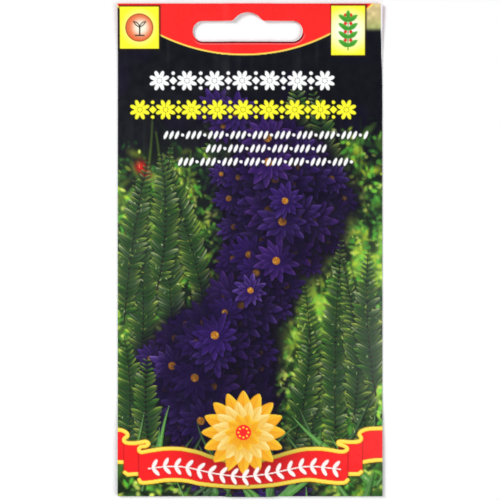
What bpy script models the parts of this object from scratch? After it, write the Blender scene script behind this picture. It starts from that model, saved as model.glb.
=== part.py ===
"""Flat paper seed packet with a hanging slot, lying on its back, with loose seeds inside.

Metres, +Z up. X runs across the packet, +Y runs up it towards the hanging slot, and the printed
front faces +Z. The origin is the centre of the footprint, on the surface that the packet lies on.

The packet is one sheet of paper. Its blank wraps round from the inner seam flap, across the back,
over the front and round to the outer seam flap, which overlaps the inner one down the middle of
the back. The lower end of the flat tube is then folded under and lies against the back.
"""

import math
import random

import bmesh
import bpy
from mathutils import Euler, Vector

MM = 0.001

# Driving dimensions, in millimetres
WIDTH = 80.0
HEIGHT = 149.0
PAPER = 0.15  # thickness of the laminated paper
PITCH = 0.25  # from one glued layer to the next
SEAM_OVERLAP = 10.0
BOTTOM_FLAP = 12.0
HEADER = 27.0  # the glued top, which the slot goes through
POUCH_RISE = 3.0  # how far the front stands up over the seeds
HEADER_CURL = 1.0  # how far the top edge lifts off the surface

# Hanging slot: a long slot with a round crown in the middle of its upper side
SLOT_WIDTH = 33.2
SLOT_HEIGHT = 6.2
SLOT_FROM_TOP = 8.3  # top edge to the middle of the slot
SLOT_OFFSET = -0.7
CROWN_RADIUS = 5.0
CROWN_ABOVE = 0.65  # centre of the crown's arc over the middle of the slot
CROWN_FILLET = 0.8
CUTTER_DEPTH = 14.0

# Seeds
SEED_COUNT = 36
SEED_LENGTH = 2.2
SEED_GAP = 0.3  # clear of the paper under it
SEED_SPACING = 2.9
SEED_FIELD_X = 17.0
SEED_FIELD_S = (33.0, 78.0)
SEED_SEED = 11

# Derived from the dimensions above
FOLD_RADIUS = PITCH / 2
FOLD_X = WIDTH / 2 - FOLD_RADIUS - PAPER / 2  # where the flat panels end and the side folds begin
BEND_GAP = 0.06  # half the gap between the back and the flap folded under it
BEND_LENGTH = math.pi * (BEND_GAP + PITCH)
FLAP_STACK = 2 * BEND_GAP + 2 * PITCH + PAPER
BEND_REACH = BEND_GAP + 2 * PITCH + PAPER  # how far the folded edge stands out below the bend's axis
SEAL = HEIGHT - HEADER
TUBE_LENGTH = HEIGHT - BEND_REACH


def smoothstep(value):
    value = min(1.0, max(0.0, value))
    return value * value * (3 - 2 * value)


def back_lift(s):
    """How far the back is off the surface: it rides on the folded flap and then comes down."""
    over_flap = FLAP_STACK * (1 - smoothstep((s - BOTTOM_FLAP - 1.5) / 18.0))
    return over_flap + HEADER_CURL * smoothstep((s - SEAL) / HEADER) ** 2


def pouch_rise(s):
    """Height of the pouch's crown at a distance s from the bend, in millimetres."""
    along = min(1.0, max(0.0, (s - 0.8) / (SEAL - 0.8)))
    return POUCH_RISE * math.sin(math.pi * along**0.75) ** 0.9


def dents(x, s):
    """Shallow buckles that run from the pouch's corners towards its middle."""
    total = 0.0
    for x0, s0, way, depth in (
        (-24.0, 106.0, 0.75, 0.30),
        (25.0, 103.0, -0.80, 0.34),
        (-27.0, 18.0, -0.70, 0.26),
        (26.0, 21.0, 0.72, 0.28),
    ):
        along = (x - x0) * math.cos(way) + (s - s0) * math.sin(way)
        across = -(x - x0) * math.sin(way) + (s - s0) * math.cos(way)
        total += depth * math.exp(-((along / 16.0) ** 2) - (across / 5.0) ** 2)
    return total


def bulge(x, s):
    crown = 1 - min(1.0, abs(x) / FOLD_X) ** 2.4
    rise = pouch_rise(s)
    return crown * rise - dents(x, s) * crown * min(1.0, rise / 1.5)


def seam_ridge(x):
    """How far a layer over the seam stands up, from 0 beside it to one pitch on it."""
    half = SEAM_OVERLAP / 2
    return PITCH * (1 - smoothstep((abs(x) - half - 0.6) / 3.5))


def inner_flap_height(x):
    """The back panel that ends under the seam climbs over the outer flap's edge."""
    return PITCH * (1 - smoothstep((x - SEAM_OVERLAP / 2 - 0.6) / 3.5))


def front_height(x, s):
    """Middle of the front panel's paper over the back's lowest face."""
    rise = pouch_rise(s)
    ridge = seam_ridge(x) * (1 - min(1.0, rise / 0.5))
    return PAPER / 2 + PITCH + ridge + bulge(x, s)


def front_stations():
    """Columns across the front, closer together beside the seam."""
    half = [0.0, 2.5, 5.0, 7.0, 9.5, 13.0, 17.0, 21.5, 26.0, 30.5, 34.5, 37.5, FOLD_X]
    return [-x for x in reversed(half[1:])] + half


def blank_columns():
    """The blank's columns as (panel, position): a place across a panel, or an angle round a fold."""
    half_seam = SEAM_OVERLAP / 2
    fold = [math.pi * step / 4 for step in range(1, 4)]
    inner = [-half_seam, -1.5, 2.0, half_seam + 0.6, 7.0, 9.5, 15.0, 21.5, 28.0, 34.0, FOLD_X]
    outer = [-FOLD_X, -34.0, -28.0, -21.5, -15.0, -9.0, -4.0, 1.0, half_seam]
    columns = [("inner", x) for x in inner]
    columns += [("right_fold", angle) for angle in fold]
    columns += [("front", x) for x in reversed(front_stations())]
    columns += [("left_fold", angle) for angle in fold]
    columns += [("outer", x) for x in outer]
    return columns


def blank_rows():
    """Distances along the tube from the bend: negative ones go round it and into the flap."""
    flap = [-BEND_LENGTH - BOTTOM_FLAP, -BEND_LENGTH - BOTTOM_FLAP / 2]
    bend = [-BEND_LENGTH * step / 6 for step in range(6, 0, -1)]
    pouch = [0.0, 2.0, 5.0, 9.0, 13.5, 18.0, 22.5, 27.0, 31.5]
    pouch += [36.5 + 6.5 * step for step in range(10)]
    pouch += [101.0, 106.0, 111.0, 115.5, 119.0, SEAL, 125.5, 131.0, 138.0, 143.5]
    return flap + bend + pouch + [TUBE_LENGTH]


def tube_point(panel, position, s):
    """Where a point of the blank lies in the flat tube: across, and over the back's lowest face."""
    if panel == "inner":
        return position, PAPER / 2 + inner_flap_height(position)
    if panel == "outer":
        return position, PAPER / 2
    if panel == "front":
        return position, front_height(position, s)
    side = 1 if panel == "right_fold" else -1
    turn = position if side > 0 else math.pi - position
    x = side * (FOLD_X + FOLD_RADIUS * math.sin(turn))
    return x, PAPER / 2 + FOLD_RADIUS * (1 - math.cos(turn))


def folded(x, height, s):
    """Bends the lower end of the tube under the back, and stands the rest on the surface."""
    bend_y = BEND_REACH - HEIGHT / 2
    if s >= 0:
        return Vector((x, bend_y + s, back_lift(s) + height)) * MM
    axis_z = back_lift(0.0) - BEND_GAP
    radius = BEND_GAP + height
    angle = min(math.pi, -s / BEND_LENGTH * math.pi)
    past = max(0.0, -s - BEND_LENGTH)
    y = bend_y - radius * math.sin(angle) + past
    return Vector((x, y, axis_z + radius * math.cos(angle))) * MM


def material(name, colour, roughness):
    made = bpy.data.materials.new(name)
    made.use_nodes = True
    shader = made.node_tree.nodes["Principled BSDF"]
    shader.inputs["Base Color"].default_value = (*colour, 1.0)
    shader.inputs["Roughness"].default_value = roughness
    shader.inputs["Metallic"].default_value = 0.0
    return made


def add_object(name, mesh, collection):
    made = bpy.data.objects.new(name, mesh)
    collection.objects.link(made)
    return made


def slot_outline():
    """The slot's outline round its own middle, counter-clockwise, in millimetres."""
    end = SLOT_HEIGHT / 2
    straight = SLOT_WIDTH / 2 - end
    points = []
    for step in range(9):
        angle = -math.pi / 2 + math.pi * step / 8
        points.append((straight + end * math.cos(angle), end * math.sin(angle)))
    # The crown's arc meets the upper side in two fillets
    drop = end + CROWN_FILLET - CROWN_ABOVE
    reach = math.sqrt((CROWN_RADIUS + CROWN_FILLET) ** 2 - drop**2)
    meet = math.atan2(drop, reach)
    fillet_y = end + CROWN_FILLET
    for step in range(4):
        angle = -math.pi / 2 - (math.pi / 2 - meet) * step / 3
        points.append(
            (reach + CROWN_FILLET * math.cos(angle), fillet_y + CROWN_FILLET * math.sin(angle))
        )
    for step in range(1, 12):
        angle = meet + (math.pi - 2 * meet) * step / 12
        points.append(
            (CROWN_RADIUS * math.cos(angle), CROWN_ABOVE + CROWN_RADIUS * math.sin(angle))
        )
    mirrored = [(-x, y) for x, y in reversed(points[9:13])]
    points += mirrored
    points += [(-x, y) for x, y in reversed(points[:9])]
    return points


def build_slot_cutter(collection):
    """A prism of the slot's outline that passes through every layer of the header."""
    curve = bpy.data.curves.new("slot_outline", "CURVE")
    curve.dimensions = "2D"
    curve.fill_mode = "BOTH"
    curve.extrude = CUTTER_DEPTH / 2 * MM
    outline = slot_outline()
    spline = curve.splines.new("POLY")
    spline.points.add(len(outline) - 1)
    for point, (x, y) in zip(spline.points, outline):
        point.co = (x * MM, y * MM, 0.0, 1.0)
    spline.use_cyclic_u = True
    drawn = add_object("slot_drawn", curve, collection)
    graph = bpy.context.evaluated_depsgraph_get()
    mesh = bpy.data.meshes.new_from_object(drawn.evaluated_get(graph))
    bpy.data.objects.remove(drawn)
    shape = bmesh.new()
    shape.from_mesh(mesh)
    bmesh.ops.remove_doubles(shape, verts=shape.verts[:], dist=0.001 * MM)
    shape.to_mesh(mesh)
    shape.free()
    cutter = add_object("slot_cutter", mesh, collection)
    cutter.location = Vector((SLOT_OFFSET, HEIGHT / 2 - SLOT_FROM_TOP, 0.0)) * MM
    cutter.hide_render = True
    cutter.display_type = "WIRE"
    return cutter


def build_envelope(collection, cutter):
    """The folded sheet: a flat grid laid out as the blank, moved to its folded place."""
    columns = blank_columns()
    rows = blank_rows()
    mesh = bpy.data.meshes.new("envelope")
    shape = bmesh.new()
    bmesh.ops.create_grid(
        shape, x_segments=len(columns) - 1, y_segments=len(rows) - 1, size=1.0
    )
    for vertex in shape.verts:
        column = round((vertex.co.x + 1) / 2 * (len(columns) - 1))
        row = round((vertex.co.y + 1) / 2 * (len(rows) - 1))
        panel, position = columns[column]
        x, height = tube_point(panel, position, rows[row])
        vertex.co = folded(x, height, rows[row])
    shape.to_mesh(mesh)
    shape.free()
    envelope = add_object("envelope", mesh, collection)
    mesh.materials.append(material("printed_paper", (0.05, 0.02, 0.16), 0.35))
    thick = envelope.modifiers.new("paper", "SOLIDIFY")
    thick.thickness = PAPER * MM
    thick.offset = 0.0
    thick.use_even_offset = True
    cut = envelope.modifiers.new("hanging_slot", "BOOLEAN")
    cut.operation = "DIFFERENCE"
    cut.solver = "EXACT"
    cut.object = cutter
    mesh.shade_smooth()
    mesh.set_sharp_from_angle(angle=math.radians(40))
    return envelope


def seed_surface(direction, lobes):
    """Radius of a seed in one direction: three blunt wings, a pinched tip and wrinkles."""
    x, y, z = direction
    turn = math.atan2(z, y)
    girth = math.hypot(y, z)
    wings = 1 + 0.16 * girth * math.cos(3 * turn + lobes)
    tip = 1 - 0.22 * max(0.0, x) ** 3
    wrinkle = 1 + 0.05 * math.sin(9 * x + 2 * lobes) * girth
    return wings * tip * wrinkle


def build_seed_mesh(index, paint):
    """One angular, slightly winged seed, its length along X and its middle at the origin."""
    mesh = bpy.data.meshes.new(f"seed_shape_{index}")
    shape = bmesh.new()
    bmesh.ops.create_uvsphere(shape, u_segments=12, v_segments=8, radius=1.0)
    for vertex in shape.verts:
        around = vertex.co.normalized()
        axis_first = Vector((around.z, around.x, around.y))
        reach = seed_surface(axis_first, 0.9 * index)
        vertex.co = Vector(
            (
                axis_first.x * SEED_LENGTH * 0.5 * reach,
                axis_first.y * SEED_LENGTH * 0.34 * reach,
                axis_first.z * SEED_LENGTH * 0.27 * reach,
            )
        ) * MM
    shape.to_mesh(mesh)
    shape.free()
    mesh.shade_smooth()
    mesh.materials.append(paint)
    return mesh


def pouch_floor(x):
    """Upper face of the back's innermost paper near a place across the pouch."""
    seed_reach = SEED_LENGTH * 0.6
    over_flap = x + seed_reach > -SEAM_OVERLAP / 2
    flap = inner_flap_height(max(x - seed_reach, -SEAM_OVERLAP / 2)) if over_flap else 0.0
    return PAPER + flap


def seed_places(draw):
    """Scattered places in the lower middle of the pouch, no two nearer than the spacing."""
    places = []
    while len(places) < SEED_COUNT:
        x = draw.gauss(0.0, 0.55) * SEED_FIELD_X
        s = draw.uniform(*SEED_FIELD_S)
        inside = abs(x) < SEED_FIELD_X
        clear = all(math.hypot(x - a, s - b) > SEED_SPACING for a, b in places)
        if inside and clear:
            places.append((x, s))
    return places


def build_seeds(collection):
    draw = random.Random(SEED_SEED)
    paint = material("seed_coat", (0.035, 0.022, 0.016), 0.8)
    shapes = [build_seed_mesh(index, paint) for index in range(6)]
    for number, (x, s) in enumerate(seed_places(draw), start=1):
        mesh = shapes[number % len(shapes)]
        seed = add_object(f"seed_{number:02d}", mesh, collection)
        seed.rotation_euler = Euler(
            (draw.uniform(-0.35, 0.35), draw.uniform(-0.15, 0.15), draw.uniform(0, math.tau))
        )
        turned = seed.rotation_euler.to_matrix()
        lowest = min((turned @ vertex.co).z for vertex in mesh.vertices)
        seed.location = folded(x, pouch_floor(x) + SEED_GAP, s) - Vector((0, 0, lowest))


def main():
    for old in list(bpy.data.objects):
        bpy.data.objects.remove(old)
    packet = bpy.data.collections.new("seed_packet")
    cutters = bpy.data.collections.new("cutters")
    bpy.context.scene.collection.children.link(packet)
    bpy.context.scene.collection.children.link(cutters)
    cutter = build_slot_cutter(cutters)
    build_envelope(packet, cutter)
    build_seeds(packet)


main()
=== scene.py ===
"""Looks of the paper seed packet: its folded paper, its print, the seeds inside, and the studio.

Sizes are in millimetres unless a name says otherwise. The blank is the sheet before folding: u runs
across it and s along it. The print is painted by code on a plane of ink and carried by the paper's
own mesh as a colour for each vertex.
"""

import random
from math import atan, copysign, cos, hypot, pi, sin, tau

import bpy
import numpy as np
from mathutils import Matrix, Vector

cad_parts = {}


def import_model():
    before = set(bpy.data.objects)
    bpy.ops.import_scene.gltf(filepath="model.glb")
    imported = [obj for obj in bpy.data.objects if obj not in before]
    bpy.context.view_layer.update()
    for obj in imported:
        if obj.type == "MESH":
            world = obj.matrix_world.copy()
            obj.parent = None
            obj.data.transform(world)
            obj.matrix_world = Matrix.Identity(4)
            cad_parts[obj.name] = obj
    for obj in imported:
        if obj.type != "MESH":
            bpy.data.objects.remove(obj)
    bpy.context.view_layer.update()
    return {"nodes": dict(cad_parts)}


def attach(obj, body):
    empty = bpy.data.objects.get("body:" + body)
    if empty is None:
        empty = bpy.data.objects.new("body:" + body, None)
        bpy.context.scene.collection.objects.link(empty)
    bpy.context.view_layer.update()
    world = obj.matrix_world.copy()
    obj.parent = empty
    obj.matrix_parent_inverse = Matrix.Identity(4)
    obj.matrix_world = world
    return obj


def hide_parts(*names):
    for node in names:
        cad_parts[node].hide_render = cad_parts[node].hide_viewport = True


MM = 0.001

# The folded sheet, with the sizes that the CAD model has
WIDTH = 80.0
HEIGHT = 149.0
PAPER = 0.15
PITCH = 0.25
SEAM_OVERLAP = 10.0
BOTTOM_FLAP = 12.0
HEADER = 27.0
POUCH_RISE = 3.0
HEADER_CURL = 1.0
FOLD_RADIUS = PITCH / 2
FOLD_X = WIDTH / 2 - FOLD_RADIUS - PAPER / 2
BEND_GAP = 0.06
BEND_LENGTH = pi * (BEND_GAP + PITCH)
FLAP_STACK = 2 * BEND_GAP + 2 * PITCH + PAPER
BEND_REACH = BEND_GAP + 2 * PITCH + PAPER
SEAL = HEIGHT - HEADER
TUBE_LENGTH = HEIGHT - BEND_REACH
BEND_Y = BEND_REACH - HEIGHT / 2

# Hanging slot
SLOT_WIDTH = 33.2
SLOT_HEIGHT = 6.2
SLOT_Y = HEIGHT / 2 - 8.3
SLOT_X = -0.7
CROWN_RADIUS = 5.0
CROWN_ABOVE = 0.65
CROWN_FILLET = 0.8
BACK_SLIP = (-0.28, 0.25)  # the back layers' cut lies this far aside from the front's

# How the sheet eases over what lies under it
POUCH_START = 0.8
FLAP_CLEAR = 1.5
FLAP_RAMP = 18.0
SEAM_CLEAR = 0.6
SEAM_RAMP = 3.5

# Where each panel of the blank ends, along u
INNER_END = FOLD_X + SEAM_OVERLAP / 2
RIGHT_END = INNER_END + pi * FOLD_RADIUS
FRONT_END = RIGHT_END + 2 * FOLD_X
LEFT_END = FRONT_END + pi * FOLD_RADIUS
BLANK_WIDTH = LEFT_END + FOLD_X + SEAM_OVERLAP / 2
FLAP_END = -BEND_LENGTH - BOTTOM_FLAP

# The meshes
PRINT_CELL = 0.22
BACK_CELL = 0.42
CORE_CELL = 0.9
HEADER_CELL = 0.5
FOLD_CELL = 0.07
FLAP_CELL = 0.8
CORE_FLAP_CELL = 1.5
CORE_POUCH_CELL = 1.4
BEND_STEPS = 16
FOOT_END = 6.2  # the rows are closer below this
HEADER_EASE = 3.0  # the core's rows are closer from this far below the header
FRONT_CUTS = (48.0, 98.0)  # the front is three pieces that meet at these heights
PRINT_DEPTH = 0.03  # the printed skins lie this far outside the white core's faces

# The camera looks straight down, and the frame is this wide at the packet's front
LENS = 100.0
SENSOR = 36.0
FRAME_WIDTH = 151.0
FRONT_LEVEL = 0.8
LOOK_AT = (-0.015, 0.15)
PRINT_LIFT = 0.25  # the print sits this much high on the paper

# The planes of ink, as left, right, bottom and top, with their dots and seeds
FRONT_PLANE = (-41.0, 41.0, -90.0, 75.2)
FRONT_DOT = 0.1
FRONT_SEED = 5
BACK_PLANE = (-46.0, 46.0, -76.0, 75.2)
BACK_DOT = 0.2
BACK_SEED = 8
DRAW_SEED = 21
EDGE = 0.12  # a painted shape's edge fades over this width
UP = 1.57  # the heading straight up


def smoothstep(value):
    value = np.clip(value, 0, 1)
    return value * value * (3 - 2 * value)


def mix(start, end, share):
    """A number or a colour part of the way from one to another."""
    return start + (end - start) * share


def faded(inside, edge=EDGE):
    """How far a place is covered, from its distance inside a shape's edge."""
    return (inside / edge + 0.5).clip(0, 1)


def off(x, y, turn, reach):
    """The place this far from x, y along a heading."""
    return x + reach * cos(turn), y + reach * sin(turn)


def turned(dx, dy, turn):
    """An offset measured along a heading and across it."""
    return dx * cos(turn) + dy * sin(turn), dy * cos(turn) - dx * sin(turn)


def height_on(line, x):
    """The height of a line of points at a place across it."""
    return np.interp(x, *zip(*line))


def run_distance(px, py, start, end):
    """Distance of each place from a straight run, and the share of the run that it lies beside."""
    (ax, ay), (bx, by) = start, end
    length = max((bx - ax) ** 2 + (by - ay) ** 2, 1e-9)
    share = (((px - ax) * (bx - ax) + (py - ay) * (by - ay)) / length).clip(0, 1)
    return np.hypot(px - ax - share * (bx - ax), py - ay - share * (by - ay)), share


def back_lift(s):
    """How far the back is lifted by the flap under it and by the header's curl."""
    over_flap = FLAP_STACK * (1 - smoothstep((s - BOTTOM_FLAP - FLAP_CLEAR) / FLAP_RAMP))
    return over_flap + HEADER_CURL * smoothstep((s - SEAL) / HEADER) ** 2


def pouch_rise(s):
    """How high the front stands over the back along the pouch's middle."""
    along = np.clip((s - POUCH_START) / (SEAL - POUCH_START), 0, 1)
    return POUCH_RISE * np.sin(pi * along**0.75).clip(0.0) ** 0.9


def dents(x, s):
    """Depth of the creases near the pouch's four corners: place, heading and depth of each."""
    total = 0.0
    for x0, s0, way, depth in (
        (-24.0, 106.0, 0.75, 0.30),
        (25.0, 103.0, -0.80, 0.34),
        (-27.0, 18.0, -0.70, 0.26),
        (26.0, 21.0, 0.72, 0.28),
    ):
        along, across = turned(x - x0, s - s0, way)
        total = total + depth * np.exp(-((along / 16.0) ** 2) - (across / 5.0) ** 2)
    return total


def front_height(x, s):
    """Height of the front's middle surface over the back's lowest face."""
    rise = pouch_rise(s)
    crown = 1 - np.clip(np.abs(x) / FOLD_X, 0, 1) ** 2.4
    bulge = crown * rise - dents(x, s) * crown * np.clip(rise / 1.5, 0, 1)
    half = SEAM_OVERLAP / 2
    ridge = PITCH * (1 - smoothstep((np.abs(x) - half - SEAM_CLEAR) / SEAM_RAMP))
    ridge = ridge * (1 - np.clip(rise / 0.5, 0, 1))
    return PAPER / 2 + PITCH + ridge + bulge


def flat_tube(u, s):
    """Where a point of the blank lies in the flat tube: across, and over the back's lowest face."""
    turn_right = (u - INNER_END) / FOLD_RADIUS
    turn_left = (u - FRONT_END) / FOLD_RADIUS
    panels = [u < INNER_END, u < RIGHT_END, u < FRONT_END, u < LEFT_END]
    x = np.select(
        panels,
        [
            u - SEAM_OVERLAP / 2,
            FOLD_X + FOLD_RADIUS * np.sin(turn_right),
            FOLD_X - (u - RIGHT_END),
            -FOLD_X - FOLD_RADIUS * np.sin(turn_left),
        ],
        u - LEFT_END - FOLD_X,
    )
    climb = PITCH * (1 - smoothstep((x - SEAM_OVERLAP / 2 - SEAM_CLEAR) / SEAM_RAMP))
    low = PAPER / 2
    height = np.select(
        panels,
        [
            low + climb,
            low + FOLD_RADIUS * (1 - np.cos(turn_right)),
            front_height(x, s),
            low + FOLD_RADIUS * (1 + np.cos(turn_left)),
        ],
        low,
    )
    return x, height


def folded(u, s):
    """The folded sheet's middle surface, in millimetres, as an array of points."""
    x, height = flat_tube(u, s)
    flat = np.stack([x, BEND_Y + s, back_lift(s) + height], axis=-1)
    radius = BEND_GAP + height
    angle = np.clip(-s / BEND_LENGTH * pi, 0.0, pi)
    past = np.clip(-s - BEND_LENGTH, 0.0, None)
    axis_z = FLAP_STACK - BEND_GAP
    under = np.stack(
        [x, BEND_Y - radius * np.sin(angle) + past, axis_z + radius * np.cos(angle)], axis=-1
    )
    return np.where(s[..., None] >= 0, flat, under)


def slot_edge(across, up):
    """Distance from the hanging slot's edge in plan, negative inside it, from the slot's middle."""
    straight = SLOT_WIDTH / 2 - SLOT_HEIGHT / 2
    bar = np.hypot(np.clip(np.abs(across) - straight, 0.0, None), up) - SLOT_HEIGHT / 2
    crown = np.hypot(across, up - CROWN_ABOVE) - CROWN_RADIUS
    crown = np.maximum(crown, -up)
    blend = np.clip(0.5 + 0.5 * (crown - bar) / CROWN_FILLET, 0, 1)
    return crown + (bar - crown) * blend - CROWN_FILLET * blend * (1 - blend)


def slot_distance(u, s):
    """The same distance at a point of the blank, where the back layers' cut sits a little aside."""
    x, _ = flat_tube(u, s)
    on_back = (u < INNER_END) | (u > LEFT_END)
    across = x - SLOT_X - on_back * BACK_SLIP[0]
    up = BEND_Y + s - SLOT_Y - on_back * BACK_SLIP[1]
    return slot_edge(across, up)


def fit_to_slot(u, s):
    """Moves the grid points along the slot's rim onto it, and says which cells lie outside the slot."""
    middle_u = (u[:-1, :-1] + u[1:, 1:]) / 2
    middle_s = (s[:-1, :-1] + s[1:, 1:]) / 2
    kept = (slot_distance(middle_u, middle_s) > 0) | (middle_s < SEAL)
    beside_kept = np.zeros(u.shape, dtype=bool)
    beside_hole = np.zeros(u.shape, dtype=bool)
    for du in (0, 1):
        for ds in (0, 1):
            touched = (slice(du, du + kept.shape[0]), slice(ds, ds + kept.shape[1]))
            beside_kept[touched] |= kept
            beside_hole[touched] |= ~kept
    rim = beside_kept & beside_hole
    rim_u = u[rim]
    rim_s = s[rim]
    step = 0.01
    for _ in range(8):
        here = slot_distance(rim_u, rim_s)
        slope_u = (slot_distance(rim_u + step, rim_s) - here) / step
        slope_s = (slot_distance(rim_u, rim_s + step) - here) / step
        steepness = np.clip(slope_u**2 + slope_s**2, 0.1, None)
        rim_u = rim_u - here * slope_u / steepness
        rim_s = rim_s - here * slope_s / steepness
    u[rim] = rim_u
    s[rim] = rim_s
    return kept


def outward(points):
    """Unit normals of a grid of points, pointing out of the folded packet."""
    along_u = np.gradient(points, axis=0)
    along_s = np.gradient(points, axis=1)
    normal = np.cross(along_s, along_u)
    return normal / np.linalg.norm(normal, axis=-1, keepdims=True).clip(1e-12)


def stations(start, end, cell):
    """Evenly spaced grid lines, about a cell apart."""
    count = max(1, round((end - start) / cell))
    return np.linspace(start, end, count + 1)


def join_stations(first, *others):
    """Runs of grid lines end to end, each line once."""
    return np.concatenate([first, *(run[1:] for run in others)])


def placed(name, data):
    """A new object in the scene."""
    made = bpy.data.objects.new(name, data)
    bpy.context.scene.collection.objects.link(made)
    return made


def grid_mesh(name, u_list, s_list, lift):
    """A grid of the blank in its folded place, moved out by lift, with its u and s for painting."""
    u, s = np.meshgrid(u_list, s_list, indexing="ij")
    normals = outward(folded(u, s))
    kept = fit_to_slot(u, s)
    points = folded(u, s) + normals * lift
    index = np.arange(u.size).reshape(u.shape)
    corners = np.stack([index[:-1, :-1], index[:-1, 1:], index[1:, 1:], index[1:, :-1]], axis=-1)
    faces = corners[kept]
    used = np.unique(faces)
    renumbered = np.full(u.size, -1)
    renumbered[used] = np.arange(used.size)
    faces = renumbered[faces]
    mesh = bpy.data.meshes.new(name)
    mesh.vertices.add(used.size)
    mesh.vertices.foreach_set("co", (points.reshape(-1, 3)[used] * MM).ravel())
    mesh.loops.add(faces.size)
    mesh.loops.foreach_set("vertex_index", faces.ravel())
    mesh.polygons.add(len(faces))
    mesh.polygons.foreach_set("loop_start", np.arange(len(faces)) * 4)
    mesh.update(calc_edges=True)
    mesh.shade_smooth()
    return placed(name, mesh), u.ravel()[used], s.ravel()[used], normals.reshape(-1, 3)[used]


class Ink:
    """A plane of ink, in millimetres, that shapes are painted on from the back to the front."""

    def __init__(self, left, right, bottom, top, step, seed):
        self.step = step
        self.x = np.arange(left, right, step)
        self.y = np.arange(bottom, top, step)
        self.colour = np.ones((len(self.y), len(self.x), 3), dtype=np.float32)
        self.draw = np.random.default_rng(seed)
        self.whole = (slice(None), slice(None))

    def window(self, low_x, high_x, low_y, high_y):
        """The part of the plane between these sides, with the places of its dots."""
        columns = np.searchsorted(self.x, [low_x, high_x])
        rows = np.searchsorted(self.y, [low_y, high_y])
        part = (slice(rows[0], rows[1]), slice(columns[0], columns[1]))
        return part, self.x[None, part[1]], self.y[part[0], None]

    def around(self, x, y, reach):
        """The window that reaches this far to each side of a place."""
        return self.window(x - reach, x + reach, y - reach, y + reach)

    def over(self, points, reach):
        """The window that holds the points with this much round them."""
        low = points.min(axis=0) - reach
        high = points.max(axis=0) + reach
        return self.window(low[0], high[0], low[1], high[1])

    def cover(self, part, amount, colour):
        """Lays a colour over a window; amount is 0 where it is bare and 1 where it is covered."""
        amount = np.clip(amount, 0, 1)[..., None]
        under = self.colour[part]
        self.colour[part] = mix(under, np.asarray(colour, dtype=np.float32), amount)

    def clouds(self, size_x, size_y):
        """Smooth noise from 0 to 1 over the whole plane, with patches of about the given size."""
        span_x = self.x[-1] - self.x[0]
        span_y = self.y[-1] - self.y[0]
        count_x = int(span_x / size_x) + 3
        count_y = int(span_y / size_y) + 3
        knots = self.draw.random((count_y, count_x))
        at_x = (self.x - self.x[0]) / size_x
        at_y = (self.y - self.y[0]) / size_y
        column = at_x.astype(int)
        row = at_y.astype(int)
        share_x = smoothstep(at_x - column)[None, :]
        share_y = smoothstep(at_y - row)[:, None]
        lower, upper = (
            knots[line][:, column] * (1 - share_x) + knots[line][:, column + 1] * share_x
            for line in (row, row + 1)
        )
        return lower * (1 - share_y) + upper * share_y

    def blob(self, x, y, radius, colour, amount=1.0):
        """A soft round patch."""
        part, px, py = self.around(x, y, 2.2 * radius)
        away = (px - x) ** 2 + (py - y) ** 2
        self.cover(part, amount * np.exp(-away / radius**2), colour)

    def disc(self, x, y, radius, colour, amount=1.0, edge=EDGE):
        part, px, py = self.around(x, y, radius + 1)
        inside = radius - np.hypot(px - x, py - y)
        self.cover(part, amount * faded(inside, edge), colour)

    def oval(self, x, y, length, width, turn, colour, amount=1.0, edge=EDGE):
        part, px, py = self.around(x, y, length / 2 + 0.5)
        along, across = turned(px - x, py - y, turn)
        ratio = np.hypot(along / (length / 2), across / (width / 2))
        inside = (1 - ratio) * width / 2
        self.cover(part, amount * faded(inside, edge), colour)

    def box(self, left, right, low, high, colour, amount=1.0, edge=EDGE, corner=0.0):
        part, px, py = self.window(left - 1, right + 1, low - 1, high + 1)
        out_x = np.maximum(left - px, px - right) + corner
        out_y = np.maximum(low - py, py - high) + corner
        outside = np.hypot(out_x.clip(0), out_y.clip(0)) + np.minimum(np.maximum(out_x, out_y), 0)
        self.cover(part, amount * (0.5 - (outside - corner) / edge).clip(0, 1), colour)

    def stroke(self, points, width, colour, amount=1.0, edge=EDGE):
        """A line of round pens through the points; width is one number or one for each end."""
        start_width, end_width = width if isinstance(width, tuple) else (width, width)
        points = np.asarray(points, dtype=float)
        part, px, py = self.over(points, max(start_width, end_width) + 0.5)
        runs = len(points) - 1
        best = np.full(np.broadcast_shapes(px.shape, py.shape), -1e3)
        for number in range(runs):
            away, share = run_distance(px, py, points[number], points[number + 1])
            along = (number + share) / runs
            pen = (start_width + (end_width - start_width) * along) / 2
            best = np.maximum(best, pen - away)
        self.cover(part, amount * faded(best, edge), colour)

    def fill(self, points, colour, amount=1.0, edge=EDGE):
        """A closed shape through the points."""
        points = np.asarray(points, dtype=float)
        part, px, py = self.over(points, 0.5)
        shape = np.broadcast_shapes(px.shape, py.shape)
        inside = np.zeros(shape, dtype=bool)
        away = np.full(shape, 1e3)
        for start, end in zip(points, np.roll(points, -1, axis=0)):
            (ax, ay), (bx, by) = start, end
            if ay != by:
                crossed = (py > ay) != (py > by)
                inside ^= crossed & (px < (bx - ax) * (py - ay) / (by - ay) + ax)
            away = np.minimum(away, run_distance(px, py, start, end)[0])
        signed = np.where(inside, away, -away)
        self.cover(part, amount * faded(signed, edge), colour)

    def at(self, x, y):
        """The ink's colour at each place, as linear light."""
        column = ((x - self.x[0]) / self.step).clip(0, len(self.x) - 1.001)
        row = ((y - self.y[0]) / self.step).clip(0, len(self.y) - 1.001)
        c, r = column.astype(int), row.astype(int)
        share_c, share_r = (column - c)[:, None], (row - r)[:, None]
        lower, upper = (
            self.colour[line, c] * (1 - share_c) + self.colour[line, c + 1] * share_c
            for line in (r, r + 1)
        )
        shown = (lower * (1 - share_r) + upper * share_r).clip(0, 1)
        return np.where(shown <= 0.04045, shown / 12.92, ((shown + 0.055) / 1.055) ** 2.4)


def rgb(red, green, blue):
    """A colour from parts out of 255."""
    return np.array([red, green, blue], dtype=np.float32) / 255


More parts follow.
